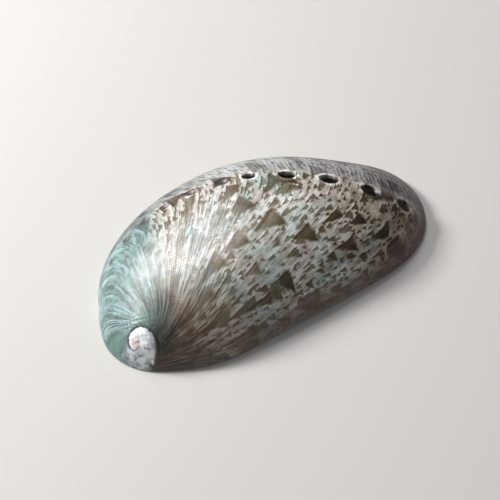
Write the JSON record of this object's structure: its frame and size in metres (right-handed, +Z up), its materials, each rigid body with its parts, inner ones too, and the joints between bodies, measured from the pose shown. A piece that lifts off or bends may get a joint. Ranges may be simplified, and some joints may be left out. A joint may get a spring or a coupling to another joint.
{
  "type": "abalone shell",
  "caption": "Low ear-shaped sea shell with a row of breathing holes and a small spiral spire, hollow underneath; rests mouth down as an ornament or on its back as a small dish.",
  "frame": {"origin": "middle of the footprint, on the plane that the margin rests on", "axes": "+Z up, out of the domed back; +X along the shell from the spire end to the front end; +Y towards the side with the breathing holes"},
  "size_m": [0.0876, 0.0479, 0.0175],
  "materials": {
    "shell": "semi-gloss shell lime, cream and grey with olive-brown triangular blotches outside, silvery mother of pearl inside"
  },
  "bodies": {
    "root": {"shell": "shell"}
  },
  "joints": []
}
